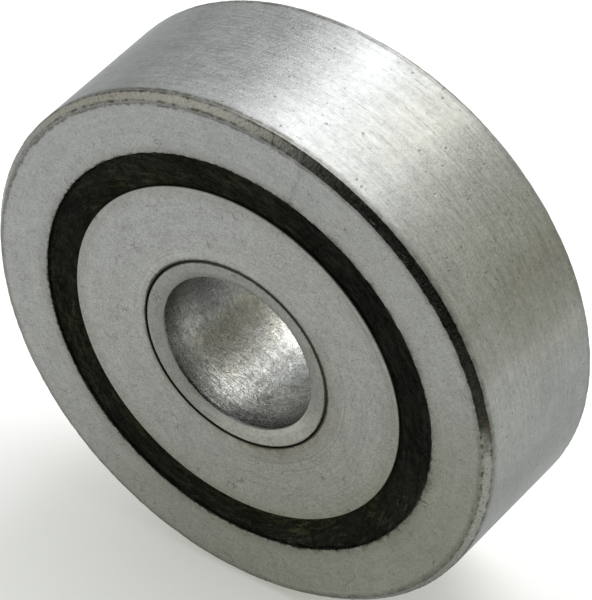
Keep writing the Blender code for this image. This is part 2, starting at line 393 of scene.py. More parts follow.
def ring_material():
    n = Nodes("ring_steel_fine")
    ay = n.math("ABSOLUTE", n.y)
    wander = n.noise(n.mm, 1.6, 4.0, 0.65)
    ragged = n.noise(n.mm, 6.0, 3.0, 0.7)
    wobble = n.math("ADD", n.span(wander, 0.3, 0.7, -0.025, 0.025), n.span(ragged, 0.3, 0.7, -0.014, 0.014))
    r = n.math("ADD", n.r, wobble)
    y = n.math("ADD", ay, wobble)
    # where: 1 on the flat end faces, 1 on the rim, 1 on the chamfer, each border ragged
    face = n.math("MULTIPLY", n.span(ay, HALF_RING - 0.10, HALF_RING - 0.03), n.span(r, RIM - 0.42, RIM - 0.47))
    rim = n.math("MULTIPLY", n.span(n.r, RIM - 0.10, RIM - 0.03), n.span(y, HALF_RING - 0.47, HALF_RING - 0.52))
    inside = n.span(n.r, SEAT_R + 0.05, SEAT_R - 0.03)
    chamfer = n.math("SUBTRACT", n.math("SUBTRACT", n.math("SUBTRACT", 1.0, face), rim), inside, clamp=True)
    # rim: scratches that run round it over a sandy grey
    fine = n.noise(n.round_axis(16.0, 14.0, 0.0), 1.0, 4.0, 0.65)
    long = n.noise(n.round_axis(5.0, 5.0, 0.0), 1.0, 4.0, 0.6)
    hair = n.noise(n.round_axis(9.0, 34.0, 0.0), 1.0, 2.0, 0.5)
    cloud = n.noise(n.mm, 0.42, 4.0, 0.62)
    sand = n.noise(n.mm, 9.0, 3.0, 0.7)
    value = n.math("ADD", n.span(fine, 0.28, 0.72, -0.60, 0.60, False), n.span(long, 0.3, 0.7, -0.34, 0.34, False))
    value = n.math("ADD", value, n.span(sand, 0.28, 0.72, -0.80, 0.80, False))
    value = n.math("ADD", value, n.span(n.noise(n.mm, 3.0, 4.0, 0.65), 0.3, 0.7, -0.38, 0.38, False))
    value = n.math("ADD", value, n.span(cloud, 0.3, 0.7, -0.28, 0.28, False))
    rim_color = n.mix(n.math("ADD", 0.5, n.math("MULTIPLY", value, 0.42)), (0.185, 0.188, 0.180), (0.395, 0.400, 0.392))
    rear = n.span(n.math("ADD", n.y, n.span(cloud, 0.3, 0.7, -1.6, 1.6)), -2.6, 0.8)
    front = n.math("SUBTRACT", 1.0, rear)
    # tones by angle round the rim: the olive at the right is partly patina; the lighter and darker bands are painted
    # reflection and painted shade
    for middle, inner, outer, where, amount, tone in (
        (40, 18, 38, rear, 1.0, (0.985, 0.975, 0.905)),
        (26, 3, 11, rear, 1.0, (0.82, 0.81, 0.785)),
        (28, 22, 40, front, 1.0, (1.03, 1.03, 0.99)),
        (25, 3, 9, front, 0.7, (0.84, 0.83, 0.80)),
        (58, 8, 20, front, 1.0, (0.98, 0.98, 0.96)),
        (8, 10, 26, rear, 0.8, (0.92, 0.925, 0.92)),
        (342, 7, 16, 1.0, 1.0, (0.90, 0.90, 0.87)),
        (70, 4, 9, 1.0, 1.0, (0.90, 0.90, 0.905)),
        (84, 6, 12, 1.0, 1.0, (1.07, 1.07, 1.09)),
        (107, 5, 11, 1.0, 1.0, (1.06, 1.06, 1.06)),
        (127, 6, 15, 1.0, 1.0, (0.88, 0.885, 0.875)),
    ):
        patina_and_painted_light = n.math("MULTIPLY", sector(n, middle, inner, outer), n.math("MULTIPLY", where, amount))
        rim_color = n.mix(patina_and_painted_light, rim_color, n.mix(1.0, rim_color, tone, "MULTIPLY"))
    scratch = n.math("MULTIPLY", n.span(n.noise(n.round_axis(7.0, 11.0, 0.0), 1.0, 3.0, 0.6, 0.3), 0.66, 0.72), n.span(sand, 0.4, 0.6))
    rim_color = n.mix(n.math("MULTIPLY", scratch, 0.5), rim_color, (0.10, 0.097, 0.085))
    a = math.radians(104)
    around = n.math("ADD", n.math("MULTIPLY", n.x, -math.sin(a)), n.math("MULTIPLY", n.z, math.cos(a)))
    slant = math.radians(66)
    along = n.math("ADD", n.math("MULTIPLY", n.y, math.sin(slant)), n.math("MULTIPLY", around, -math.cos(slant)))
    over = n.math("ADD", n.math("MULTIPLY", n.y, math.cos(slant)), n.math("MULTIPLY", around, math.sin(slant)))
    oblique = n.noise(n.combine(n.math("MULTIPLY", along, 0.75), n.math("MULTIPLY", over, 9.0), 3.0), 1.0, 2.0, 0.5)
    oblique = n.math("MULTIPLY", n.span(oblique, 0.54, 0.60), n.math("MULTIPLY", sector(n, 104, 7, 15), n.span(n.math("ABSOLUTE", n.y), 3.6, 2.2)))
    rim_color = n.mix(n.math("MULTIPLY", oblique, 0.28), rim_color, (0.12, 0.122, 0.118))
    speck = n.span(n.noise(n.mm, 3.6, 2.0, 0.5), 0.685, 0.74)
    pits = n.span(n.voronoi(n.mm, 1.05), 0.10, 0.055)
    rim_color = n.mix(n.math("MULTIPLY", n.math("MAXIMUM", speck, pits), 0.5), rim_color, (0.075, 0.072, 0.06))
    face_color, face_rough, face_height = face_finish(n, 0.352)
    face_color = n.mix(n.span(r, SEAT_R + 1.1, SEAT_R + 0.2), face_color, n.mix(1.0, face_color, (0.90, 0.895, 0.86), "MULTIPLY"))
    # chamfer: left as turned, beige and speckled, dark along both of its borders; painted light makes it lighter at the
    # upper left, painted shade darker at the left
    across = n.math("DIVIDE", n.math("SUBTRACT", n.r, RIM - 0.45), 0.45)
    across = n.math("ADD", across, n.span(ragged, 0.3, 0.7, -0.10, 0.10, False))
    border = n.math("MAXIMUM", n.span(across, 0.30, 0.12), n.span(across, 0.72, 0.92))
    border = n.math("MULTIPLY", border, n.span(n.math("ADD", wander, n.math("MULTIPLY", ragged, 0.5)), 0.58, 0.86))
    spots = n.span(n.noise(n.mm, 5.2, 3.0, 0.6), 0.60, 0.68)
    chamfer_color = n.mix(ragged, (0.165, 0.158, 0.142), (0.355, 0.350, 0.332))
    # painted light: lighter and beige at the upper left
    chamfer_color = n.mix(n.math("MULTIPLY", sector(n, 118, 34, 50), 0.85), chamfer_color, n.mix(ragged, (0.150, 0.142, 0.115), (0.46, 0.443, 0.385)))
    flecks = n.span(n.noise(n.mm, 6.5, 2.0, 0.5), 0.63, 0.70)
    chamfer_color = n.mix(sector(n, 342, 24, 40), chamfer_color, n.mix(1.0, chamfer_color, (0.93, 0.97, 0.91), "MULTIPLY"))
    chamfer_color = n.mix(n.math("MULTIPLY", n.math("MULTIPLY", flecks, sector(n, 342, 24, 36)), 0.72), chamfer_color, (0.55, 0.56, 0.52))
    chamfer_color = n.mix(n.math("MULTIPLY", n.math("MAXIMUM", border, n.math("MULTIPLY", spots, 0.7)), 0.85), chamfer_color, (0.030, 0.027, 0.020))
    # painted shade: darker at the left
    chamfer_color = n.mix(n.math("MULTIPLY", sector(n, 192, 40, 62), 0.5), chamfer_color, (0.15, 0.145, 0.13))
    # painted dark reflection: the chamfer is near black over the upper right, as if mirroring a dark part of the room
    painted_dark_reflection = n.math("MULTIPLY", sector(n, 46, 35, 40), n.math("SUBTRACT", 1.0, sector(n, 100, 10, 32)))
    painted_dark_reflection = n.math("MULTIPLY", painted_dark_reflection, n.span(ragged, 0.3, 0.7, 0.99, 0.90))
    painted_dark_reflection_color = n.mix(sector(n, 68, 8, 36), (0.0155, 0.0150, 0.0110), (0.150, 0.144, 0.125))
    painted_dark_reflection_color = n.mix(n.span(wander, 0.35, 0.65), painted_dark_reflection_color, n.mix(1.0, painted_dark_reflection_color, (0.72, 0.70, 0.66), "MULTIPLY"))
    chamfer_color = n.mix(painted_dark_reflection, chamfer_color, painted_dark_reflection_color)
    rust = n.math("MULTIPLY", sector(n, 8, 2.0, 6.0), n.span(wander, 0.42, 0.58))
    chamfer_color = n.mix(n.math("MULTIPLY", rust, 0.62), chamfer_color, (0.066, 0.056, 0.040))
    # dirt that spills a little over the borders
    near = n.math("MULTIPLY", n.span(n.r, RIM - 0.95, RIM - 0.42), n.span(ay, HALF_RING - 0.95, HALF_RING - 0.50))
    spill = n.math("MULTIPLY", n.math("MULTIPLY", near, n.span(ragged, 0.56, 0.66)), n.span(wander, 0.50, 0.60))
    smear = n.span(n.math("ADD", wander, n.math("MULTIPLY", ragged, 0.6)), 0.5, 1.1, 0.65, 1.25)
    beside = n.math("MULTIPLY", n.span(r, RIM - 0.86, RIM - 0.46), n.math("MULTIPLY", smear, 0.56))
    face_color = n.mix(beside, face_color, n.mix(1.0, face_color, (0.36, 0.35, 0.31), "MULTIPLY"))
    beside = n.math("MULTIPLY", n.span(y, HALF_RING - 1.02, HALF_RING - 0.56), n.math("MULTIPLY", smear, n.span(n.y, 0.0, 1.0, 0.62, 0.22)))
    rim_color = n.mix(beside, rim_color, n.mix(1.0, rim_color, (0.30, 0.29, 0.26), "MULTIPLY"))
    upper = sector(n, 122, 34, 62)
    broken = n.math("MULTIPLY", upper, n.span(n.math("ADD", wander, n.math("MULTIPLY", ragged, 0.9)), 0.72, 1.02))
    dirt = n.span(n.math("ABSOLUTE", n.math("SUBTRACT", n.math("ADD", r, n.span(wander, 0.3, 0.7, -0.05, 0.05)), RIM - 0.60)), 0.12, 0.02)
    face_color = n.mix(n.math("MULTIPLY", n.math("MULTIPLY", dirt, broken), 0.62), face_color, (0.085, 0.077, 0.060))
    dirt = n.span(n.math("ABSOLUTE", n.math("SUBTRACT", y, HALF_RING - 0.68)), 0.13, 0.04)
    rim_color = n.mix(n.math("MULTIPLY", n.math("MULTIPLY", dirt, broken), 0.62), rim_color, (0.075, 0.068, 0.052))
    color = n.mix(face, rim_color, face_color)
    color = n.mix(chamfer, color, chamfer_color)
    color = n.mix(n.math("MULTIPLY", spill, 0.7), color, (0.055, 0.05, 0.04))
    # painted shade: the ring's surfaces inside the seat and the ball groove are near black
    color = n.mix(inside, color, (0.05, 0.048, 0.04))
    rubbed = n.math("ADD", n.r, n.math("ADD", n.span(n.noise(n.mm, 2.2, 3.0, 0.6), 0.3, 0.7, -0.09, 0.09), n.span(ragged, 0.3, 0.7, -0.05, 0.05)))
    halo = n.math("MULTIPLY", n.span(rubbed, SEAT_R + 0.52, SEAT_R + 0.04), n.span(n.math("ADD", n.noise(n.mm, 1.3, 4.0, 0.7), n.math("MULTIPLY", ragged, 0.35)), 0.58, 0.80))
    halo = n.math("MULTIPLY", halo, n.math("ADD", 0.45, n.math("MULTIPLY", n.math("MAXIMUM", sector(n, 50, 26, 44), sector(n, 322, 22, 44)), 0.45)))
    color = n.mix(n.math("MULTIPLY", halo, face), color, n.mix(1.0, color, (0.42, 0.415, 0.37), "MULTIPLY"))
    color = n.mix(n.math("MULTIPLY", n.span(rubbed, SEAT_R + 0.10, SEAT_R + 0.0), n.math("MULTIPLY", face, 0.75)), color, (0.035, 0.034, 0.026))
    rough = n.math("ADD", 0.40, n.math("ADD", n.span(fine, 0.3, 0.7, -0.07, 0.07), n.span(sand, 0.3, 0.7, -0.06, 0.06)))
    rough = n.blend(face, rough, face_rough)
    rough = n.blend(chamfer, rough, n.math("ADD", 0.27, n.span(ragged, 0.3, 0.7, -0.05, 0.08)))
    height = n.math("MULTIPLY", rim, n.math("ADD", n.math("MULTIPLY", fine, 1.0), n.math("ADD", n.math("MULTIPLY", hair, 0.5), n.math("MULTIPLY", sand, 0.8))))
    height = n.math("ADD", height, n.math("MULTIPLY", face, face_height))
    height = n.math("ADD", height, n.math("MULTIPLY", chamfer, n.math("MULTIPLY", ragged, 2.2)))
    height = n.math("SUBTRACT", height, n.math("MULTIPLY", n.math("MAXIMUM", pits, scratch), 0.9))
    normal = n.bump(height, 0.014)
    return n.finish(color, rough, 1.0, normal, specular_tint=(0.72, 0.74, 0.76, 1.0))


def race_material():
    n = Nodes("race_steel_fine")
    ay = n.math("ABSOLUTE", n.y)
    face = n.span(ay, HALF_HUB - 0.12, HALF_HUB - 0.04)
    color, rough, height = face_finish(n, 0.352)
    # painted shade: darker towards the outer edge, beside the felt
    painted_edge_shade = n.span(n.math("ADD", n.r, n.span(n.noise(n.mm, 2.0, 3.0, 0.6), 0.3, 0.7, -0.15, 0.15)), 10.2, 11.3)
    color = n.mix(painted_edge_shade, color, n.mix(1.0, color, (0.87, 0.865, 0.825), "MULTIPLY"))
    color = n.mix(n.math("MULTIPLY", sector(n, 340, 40, 75), n.span(n.r, 8.2, 6.5)), color, n.mix(1.0, color, (0.84, 0.83, 0.79), "MULTIPLY"))
    color = n.mix(n.math("MULTIPLY", sector(n, 135, 35, 65), n.span(n.r, 8.0, 6.8)), color, n.mix(1.0, color, (1.06, 1.06, 1.06), "MULTIPLY"))
    # faint rings left by the turning tool, clearest towards the joint
    rings = n.noise(n.combine(n.math("MULTIPLY", n.ux, 0.8), n.math("MULTIPLY", n.uz, 0.8), n.math("MULTIPLY", n.r, 11.0)), 1.0, 2.0, 0.5)
    rings = n.math("MULTIPLY", n.span(rings, 0.56, 0.66), n.span(n.r, 9.6, 7.2, 0.15, 1.0))
    beside = n.math("MULTIPLY", sector(n, 322, 30, 56), n.span(n.r, 9.4, 7.4, 0.0, 1.0))
    color = n.mix(n.math("MULTIPLY", rings, n.math("ADD", 0.20, n.math("MULTIPLY", beside, 0.26))), color, (0.15, 0.146, 0.128))
    arcs = n.noise(n.round_axis(1.5, 1.0, 9.0), 1.0, 2.0, 0.55)
    arcs = n.math("MULTIPLY", n.span(arcs, 0.60, 0.68), n.math("MAXIMUM", sector(n, 20, 22, 44), sector(n, 325, 20, 42)))
    color = n.mix(n.math("MULTIPLY", arcs, 0.26), color, (0.13, 0.128, 0.117))
    stain = n.math("MULTIPLY", n.span(n.r, RACE_BORE + 1.0, RACE_BORE), n.span(n.noise(n.mm, 1.1, 3.0, 0.6), 0.46, 0.66))
    stain = n.math("MULTIPLY", stain, sector(n, 262, 18, 70))
    color = n.mix(n.math("MULTIPLY", stain, 0.55), color, (0.20, 0.16, 0.095))
    seam = n.math("ADD", n.r, n.span(n.noise(n.mm, 5.0, 3.0, 0.6), 0.3, 0.7, -0.02, 0.02))
    greasy = n.span(n.noise(n.mm, 1.4, 4.0, 0.65), 0.38, 0.66, 0.15, 0.75)
    color = n.mix(n.math("MULTIPLY", n.span(seam, RACE_BORE + 0.34, RACE_BORE + 0.02), greasy), color, n.mix(1.0, color, (0.52, 0.49, 0.40), "MULTIPLY"))
    wide = n.math("MULTIPLY", n.math("MAXIMUM", sector(n, 45, 62, 95), sector(n, 140, 8, 35)), 0.075)
    near = n.math("SUBTRACT", seam, wide)
    color = n.mix(n.math("MULTIPLY", n.span(near, RACE_BORE + 0.035, RACE_BORE - 0.015), 0.9), color, (0.036, 0.032, 0.021))
    # painted shade: every surface of the race but its end face is near black
    color = n.mix(face, (0.06, 0.056, 0.043), color)
    return n.finish(color, rough, 1.0, n.bump(height, 0.012))


def hub_material():
    n = Nodes("hub_steel_fine")
    ay = n.math("ABSOLUTE", n.y)
    wall = n.span(n.r, MOUTH_R + 0.01, MOUTH_R - 0.03)
    color, rough, height = face_finish(n, 0.31)
    color = n.mix(1.0, color, (0.87, 0.867, 0.84), "MULTIPLY")
    # painted light: the hub's end is lighter at the lower right, where its dome faces the light
    color = n.mix(sector(n, 296, 22, 58), color, n.mix(1.0, color, (1.46, 1.46, 1.47), "MULTIPLY"))
    nibble = n.noise(n.mm, 2.9, 3.0, 0.65)
    color = n.mix(n.span(nibble, 0.52, 0.74, 0.0, 0.42), color, n.mix(1.0, color, (0.62, 0.60, 0.53), "MULTIPLY"))
    color = n.mix(n.span(nibble, 0.46, 0.28, 0.0, 0.30), color, n.mix(1.0, color, (1.28, 1.28, 1.27), "MULTIPLY"))
    blotch = n.noise(n.mm, 1.1, 4.0, 0.6)
    marks = n.noise(n.round_axis(5.0, 8.0, 0.0), 1.0, 4.0, 0.65)
    wrinkle = n.noise(n.mm, 3.4, 3.0, 0.55, 1.4)
    wrinkle = n.span(n.math("ABSOLUTE", n.math("SUBTRACT", wrinkle, 0.5)), 0.0, 0.06)
    grit = n.noise(n.mm, 7.0, 3.0, 0.65)
    lumps = n.noise(n.mm, 2.1, 3.0, 0.58, 0.9)
    value = n.math("ADD", n.span(blotch, 0.3, 0.7, -0.45, 0.45, False), n.span(grit, 0.3, 0.7, -0.26, 0.26, False))
    value = n.math("ADD", value, n.span(lumps, 0.3, 0.7, -0.70, 0.70, False))
    wall_color = n.mix(n.math("ADD", 0.5, n.math("MULTIPLY", value, 0.5)), (0.262, 0.261, 0.242), (0.605, 0.608, 0.582))
    # painted shade: the bore's wall is darker deeper in
    deep = n.span(n.math("ADD", ay, n.span(blotch, 0.3, 0.7, -0.5, 0.5)), HALF_HUB - 1.8, HALF_HUB - 4.6)
    wall_color = n.mix(deep, wall_color, n.mix(1.0, wall_color, (0.64, 0.64, 0.64), "MULTIPLY"))
    inner = n.span(ay, HALF_HUB - 2.4, HALF_HUB - 4.2)
    # painted shade: the reflection of the light box deep in the bore is toned down
    painted_highlight_dimming = n.math("MULTIPLY", sector(n, 253, 7, 22), n.span(ay, HALF_HUB - 3.6, HALF_HUB - 5.6))
    wall_color = n.mix(painted_highlight_dimming, wall_color, n.mix(1.0, wall_color, (0.74, 0.74, 0.74), "MULTIPLY"))
    painted_glare_dimming = n.math("MULTIPLY", sector(n, 250, 8, 16), n.span(ay, HALF_HUB - 5.4, HALF_HUB - 7.0))
    wall_color = n.mix(painted_glare_dimming, wall_color, n.mix(1.0, wall_color, (0.66, 0.66, 0.66), "MULTIPLY"))
    # painted highlight: lighter in a narrow band near 274 degrees, deeper in
    wall_color = n.mix(n.math("MULTIPLY", sector(n, 274, 4, 12), inner), wall_color, n.mix(1.0, wall_color, (1.40, 1.40, 1.40), "MULTIPLY"))
    smudge = n.math("MULTIPLY", sector(n, 229, 8, 24), n.span(n.math("ADD", blotch, n.math("MULTIPLY", lumps, 0.5)), 0.56, 0.80))
    smudge = n.math("MULTIPLY", smudge, n.span(ay, HALF_HUB - 1.9, HALF_HUB - 2.7))
    wall_color = n.mix(n.math("MULTIPLY", smudge, 0.55), wall_color, n.mix(1.0, wall_color, (0.60, 0.56, 0.46), "MULTIPLY"))
    # painted shade: bluish grey deep in the bore near 186 degrees
    wall_color = n.mix(n.math("MULTIPLY", sector(n, 186, 10, 24), n.math("MULTIPLY", inner, 0.6)), wall_color, (0.11, 0.113, 0.118))
    mouth = n.math("ADD", ay, n.span(blotch, 0.3, 0.7, -0.25, 0.25))
    wall_color = n.mix(n.math("MULTIPLY", n.span(mouth, HALF_HUB - 2.0, HALF_HUB - 0.35), 0.70), wall_color, (0.085, 0.085, 0.080))
    # painted shade: slightly darker and bluer along the lower right of the bore
    wall_color = n.mix(n.math("MULTIPLY", sector(n, 292, 14, 34), 0.8), wall_color, n.mix(1.0, wall_color, (0.74, 0.75, 0.77), "MULTIPLY"))
    cut = n.noise(n.round_axis(1.6, 16.0, 0.0), 1.0, 2.0, 0.5)
    wall_color = n.mix(n.math("MULTIPLY", n.span(cut, 0.56, 0.70), 0.35), wall_color, (0.12, 0.118, 0.105))
    crease = n.math("MULTIPLY", n.math("SUBTRACT", 1.0, wrinkle), n.span(blotch, 0.40, 0.62))
    wall_color = n.mix(n.math("MULTIPLY", crease, 0.38), wall_color, n.mix(1.0, wall_color, (0.50, 0.49, 0.46), "MULTIPLY"))
    pits = n.span(n.voronoi(n.mm, 1.5), 0.12, 0.07)
    wall_color = n.mix(n.math("MULTIPLY", pits, 0.6), wall_color, (0.06, 0.055, 0.045))
    color = n.mix(wall, color, wall_color)
    seam = n.math("SUBTRACT", n.r, n.span(n.noise(n.mm, 5.0, 3.0, 0.6), 0.3, 0.7, -0.02, 0.02))
    wide = n.math("MULTIPLY", n.math("MAXIMUM", sector(n, 45, 62, 95), sector(n, 140, 8, 35)), 0.075)
    color = n.mix(n.math("MULTIPLY", n.span(n.math("ADD", seam, wide), HUB_R - 0.035, HUB_R + 0.01), 0.9), color, (0.036, 0.032, 0.021))
    rough = n.blend(wall, rough, n.math("ADD", 0.26, n.span(grit, 0.3, 0.7, -0.05, 0.10)))
    height = n.blend(wall, height, n.math("ADD", n.math("MULTIPLY", marks, 1.8), n.math("ADD", n.math("ADD", n.math("MULTIPLY", grit, 0.5), n.math("MULTIPLY", wrinkle, 0.30)), n.math("MULTIPLY", lumps, 3.0))))
    return n.finish(color, rough, 1.0, n.bump(height, 0.012))


def felt_material(name="felt_black", light=1.0):
    n = Nodes(name)
    swirl = n.noise(n.mm, 0.9, 2.0, 0.5)
    bent = n.combine(n.math("MULTIPLY", swirl, 4.0), 0.0, n.math("MULTIPLY", swirl, -3.0))
    streak = n.noise(n.vector("ADD", n.round_axis(12.0, 3.0, 2.2), bent), 1.0, 4.0, 0.65, 0.5)
    fibre = n.noise(n.vector("ADD", n.round_axis(22.0, 8.0, 6.0), bent), 1.0, 3.0, 0.6, 0.8)
    tuft = n.noise(n.mm, 4.5, 3.0, 0.65)
    oil = n.noise(n.mm, 0.5, 3.0, 0.6)
    value = n.math("ADD", n.span(streak, 0.47, 0.66), n.span(fibre, 0.50, 0.68, 0.0, 0.7))
    value = n.math("ADD", value, n.span(tuft, 0.52, 0.70, 0.0, 0.6))
    value = n.math("MULTIPLY", value, n.span(n.noise(n.mm, 0.32, 2.0, 0.5), 0.35, 0.62, 0.35, 1.0))
    color = n.mix(n.math("MULTIPLY", value, 0.66), (0.0024 * light, 0.0024 * light, 0.0011 * light), (0.050 * light, 0.049 * light, 0.034 * light))
    patch = n.span(n.noise(n.mm, 0.75, 4.0, 0.62), 0.42, 0.62, 0.80, 1.50)
    # painted light and shade: the felt is darker at the right and lighter at the lower right and upper left
    patch = n.math("MULTIPLY", patch, n.math("SUBTRACT", 1.0, n.math("MULTIPLY", sector(n, 26, 30, 50), 0.52)))
    patch = n.math("MULTIPLY", patch, n.math("ADD", 1.0, n.math("MULTIPLY", sector(n, 304, 14, 32), 0.45)))
    patch = n.math("MULTIPLY", patch, n.math("ADD", 1.0, n.math("MULTIPLY", sector(n, 110, 28, 50), 0.28)))
    color = n.mix(1.0, color, n.combine(patch, patch, n.math("MULTIPLY", patch, 0.88)), "MULTIPLY")
    # darker and more olive inward of the outer band; the outer band lighter and bluer at the lower right
    outer_band = n.span(n.math("ADD", n.r, n.span(tuft, 0.3, 0.7, -0.35, 0.35)), 12.2, 13.3)
    color = n.mix(n.math("SUBTRACT", 1.0, outer_band), color, n.mix(1.0, color, (0.86, 0.88, 0.66), "MULTIPLY"))
    color = n.mix(n.math("MULTIPLY", outer_band, sector(n, 300, 40, 66)), color, n.mix(1.0, color, (1.12, 1.13, 1.26), "MULTIPLY"))
    olive = n.math("MULTIPLY", sector(n, 244, 34, 60), n.span(n.r, 13.0, 12.0))
    color = n.mix(olive, color, n.mix(1.0, color, (1.0, 1.02, 0.60), "MULTIPLY"))
    color = n.mix(n.math("MULTIPLY", n.span(oil, 0.48, 0.62), 0.6), color, (0.0062 * light, 0.0066 * light, 0.0014 * light))
    height = n.math("ADD", n.math("MULTIPLY", fibre, 0.9), n.math("ADD", streak, n.math("MULTIPLY", tuft, 0.6)))
    return n.finish(color, n.span(oil, 0.4, 0.65, 0.95, 0.75), 0.0, n.bump(height, 0.10), specular_ior_level=0.12, sheen_weight=0.03)


def ball_material():
    n = Nodes("ball_steel_fine")
    haze = n.noise(n.mm, 1.5, 3.0, 0.6)
    color = n.mix(n.span(haze, 0.35, 0.65), (0.52, 0.52, 0.52), (0.62, 0.62, 0.615))
    return n.finish(color, n.span(haze, 0.35, 0.65, 0.08, 0.16), 1.0, n.bump(n.noise(n.mm, 30.0, 2.0, 0.5), 0.0006))


# ------------------------------------------------------------------ outer ring
def groove(center_r, shoulder, outward, steps=22):
    """Arc points of a ball groove, from -y to +y."""
    reach = math.degrees(math.acos(abs(shoulder - center_r) / GROOVE_R))
    if outward:
        return arc(center_r, 0.0, GROOVE_R, -reach, reach, steps)
    return arc(center_r, 0.0, GROOVE_R, 180 + reach, 180 - reach, steps)


def build_outer_ring():
    top = HALF_RING - SKIN
    rim = RIM - SKIN
    corners = [
        (rim - 0.45, top), (rim, top - 0.50), (rim, -top + 0.50), (rim - 0.45, -top),
        (SEAT_R, -top), (SEAT_R, -SEAT_FLOOR), (SHOULDER_OUT, -SEAT_FLOOR),
    ]
    radii = [0.06, 0.06, 0.06, 0.06, 0.07, 0.1, 0.05]
    inner = groove(PITCH_R + BALL_R + PLAY - GROOVE_R, SHOULDER_OUT, True)
    corners += inner + [(SHOULDER_OUT, SEAT_FLOOR), (SEAT_R, SEAT_FLOOR), (SEAT_R, top)]
    radii += [0.0] * len(inner) + [0.05, 0.1, 0.07]
    profile = densify(rounded(corners, radii, 4), 0.30)

    def worn(R, Y, T, NR, NY):
        """Ragged chamfer borders, knocks on the edges and the slightest waviness."""
        ay = np.abs(Y)
        side = np.sign(Y)
        near_rim = (R > rim - 0.8) & (ay > top - 0.8)
        dr, dy = np.zeros(R.shape), np.zeros(R.shape)
        a = field(R[:, near_rim[0]], Y[:, near_rim[0]], T[:, near_rim[0]], 2.4, 3.0, 3)
        low = field(R[:, near_rim[0]], Y[:, near_rim[0]], T[:, near_rim[0]], 0.5, 9.0, 2)
        push = np.clip(0.5 * a + 0.5 * low + 0.2, 0.0, 1.0)
        edge = np.exp(-((R[:, near_rim[0]] - (rim - 0.45)) / 0.10) ** 2 - ((ay[:, near_rim[0]] - top) / 0.10) ** 2)
        edge += np.exp(-((R[:, near_rim[0]] - rim) / 0.10) ** 2 - ((ay[:, near_rim[0]] - (top - 0.5)) / 0.10) ** 2)
        cut = 0.035 * push * edge
        dr[:, near_rim[0]] = -cut * NR[:, near_rim[0]]
        dy[:, near_rim[0]] = -cut * NY[:, near_rim[0]]
        # the seat's mouth is a little uneven, where the felt was pressed in
        mouth = np.exp(-((R - SEAT_R) / 0.12) ** 2 - ((ay - top) / 0.12) ** 2)
        dr += mouth * 0.034 * (ring_wave(T, 11, 20, 140, 0.4) * 0.6 + 0.5 * ring_wave(T, 12, 3, 16, 0.5))
        # a small nick in the front face beside the felt
        nick = np.exp(-(((T - math.radians(NICK_THETA)) * R) / 0.10) ** 2 - ((R - NICK_R) / 0.28) ** 2) * (Y < -top + 0.3)
        dy += 0.10 * nick
        dr[:] = np.where(R > rim - 0.01, np.minimum(dr, 0.0), dr)
        dy[:] = np.where((ay > top - 0.001) & (dy * side > 0), 0.0, dy)
        return dr, dy

    obj = turned("outer_ring_turned", profile, 720, worn)
    obj.data.materials.append(ring_material())
    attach(obj, "outer_ring")
    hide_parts("outer_ring")
    return obj


NICK_THETA = -19.0 % 360
NICK_R = 13.95


def build_races():
    center = PITCH_R - BALL_R - PLAY + GROOVE_R
    top = HALF_HUB - SKIN
    land_end = FELT_BACK - 0.06
    rise = math.degrees(math.acos((center - SHOULDER_IN) / GROOVE_R))
    end = 180.0 - math.degrees(math.asin(0.05 / GROOVE_R))
    inner = arc(center, 0.0, GROOVE_R, 180.0 - rise, end, 14)
    bore = RACE_BORE - 0.045                 # the visible joint is partly filled with dried grease
    corners = [(bore, top), (RACE_R, top), (RACE_R, land_end), (SHOULDER_IN - SKIN, land_end - 0.34)]
    radii = [0.05, 0.09, 0.05, 0.05]
    corners += inner + [(HUB_R + 0.004, 0.05), (HUB_R + 0.004, top - 0.80), (bore, top - 0.60)]
    radii += [0.0] * (len(inner) - 1) + [0.0, 0.03, 0.0, 0.0]
    rear = densify(rounded(corners, radii, 4), 0.35)
    material = race_material()
    made = []
    for name, node, profile in (
        ("inner_race_rear_turned", "inner_race_rear", rear),
        ("inner_race_front_turned", "inner_race_front", mirrored(rear)),
    ):
        obj = turned(name, profile, 720)
        obj.data.materials.append(material)
        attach(obj, "hub")
        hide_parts(node)
        made.append(obj)
    return made


def fall(width, drop):
    """Radius of an arc that starts level and drops this far over the width, and the slope it ends on."""
    radius = (width * width + drop * drop) / (2 * drop)
    return radius, math.degrees(math.asin(width / radius))


def build_hub():
    top = HALF_HUB - SKIN
    outer = HUB_R - SKIN
    out_r, out_slope = fall(outer - LAND_OUT, FALL_OUT)
    in_r, in_slope = fall(LAND_IN - MOUTH_R, FALL_IN)
    lean = math.radians(in_slope)
    edge = (MOUTH_R - BORE_R) / (1 - math.sin(lean))
    mouth = arc(BORE_R + edge, top - FALL_IN - edge * math.cos(lean), edge, 180.0, 90.0 + in_slope, 8)
    mouth += arc(LAND_IN, top - in_r, in_r, 90.0 + in_slope, 90.0, 8)[1:]
    side = mouth + arc(LAND_OUT, top - out_r, out_r, 90.0, 90.0 - out_slope, 6)
    profile = densify(side + mirrored(side), 0.16)

    def machined(R, Y, T, NR, NY):
        """Slight waves and dents on the wall of the bore, and a hand-broken mouth."""
        bore = np.clip((MOUTH_R - 0.02 - R) / 0.08, 0.0, 1.0)
        dr = np.zeros(R.shape)
        cols = bore[0] > 0
        r, y, t = R[:, cols], Y[:, cols], T[:, cols]
        wave = 0.007 * field(r, y, t, 0.7, 21.0, 3) + 0.0028 * field(r, y, t, 3.0, 5.0, 3)
        dr[:, cols] = bore[:, cols] * (0.012 + wave).clip(0.0, 0.06)
        edge = np.exp(-((R - MOUTH_R) / 0.10) ** 2) * (np.abs(Y) > top - 0.4)
        dr += 0.016 * edge * ring_wave(T, 5, 3, 70, 0.5)
        return dr, np.zeros(R.shape)

    obj = turned("hub_sleeve_turned", profile, 480, machined)
    obj.data.materials.append(hub_material())
    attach(obj, "hub")
    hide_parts("hub_sleeve")
    return obj


